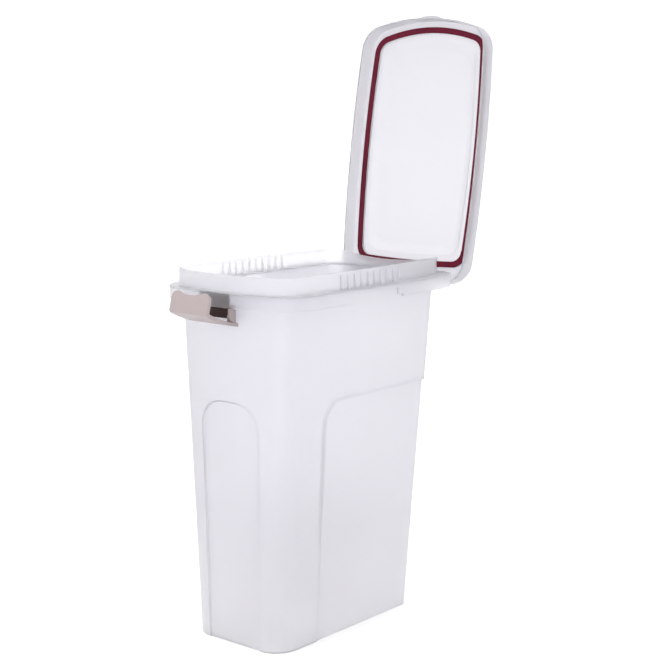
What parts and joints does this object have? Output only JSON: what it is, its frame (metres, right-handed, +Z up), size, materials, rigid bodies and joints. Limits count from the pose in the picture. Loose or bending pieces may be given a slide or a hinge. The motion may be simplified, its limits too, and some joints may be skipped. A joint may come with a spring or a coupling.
{
  "type": "pet food storage bin",
  "caption": "Tall translucent dry pet food bin with a tapered tub, a flip-up lid with a soft inner seal, side hand grips and a front clip that folds over the lid.",
  "frame": {"origin": "on the floor under the base, on the middle plane from side to side", "axes": "+Z up, -Y towards the front with the clip, +Y towards the lid's hinge, +X to the side"},
  "size_m": [0.292, 0.6078, 0.9886],
  "materials": {
    "tub_plastic": "satin natural translucent polypropylene",
    "lid_plastic": "satin natural translucent polypropylene",
    "seal_rubber": "matte dark red soft rubber",
    "clip_plastic": "satin warm grey moulded plastic",
    "backing_plastic": "matte dark brown plastic"
  },
  "bodies": {
    "bin": {"tub": "tub_plastic", "clip_bracket": "clip_plastic", "clip_backing": "backing_plastic"},
    "lid_body": {"lid": "lid_plastic", "lid_seal": "seal_rubber"},
    "clip_body": {"clip": "clip_plastic"}
  },
  "joints": [
    {"name": "lid_hinge", "type": "hinge", "parent": "bin", "child": "lid_body", "pos_m": [0, 0.2371, 0.5503], "axis": [1, 0, 0], "range_deg": [0, 98.2]},
    {"name": "clip_pivot", "type": "hinge", "parent": "bin", "child": "clip_body", "pos_m": [0, -0.202, 0.5287], "axis": [-1, 0, 0], "range_deg": [0, 47.2]}
  ]
}
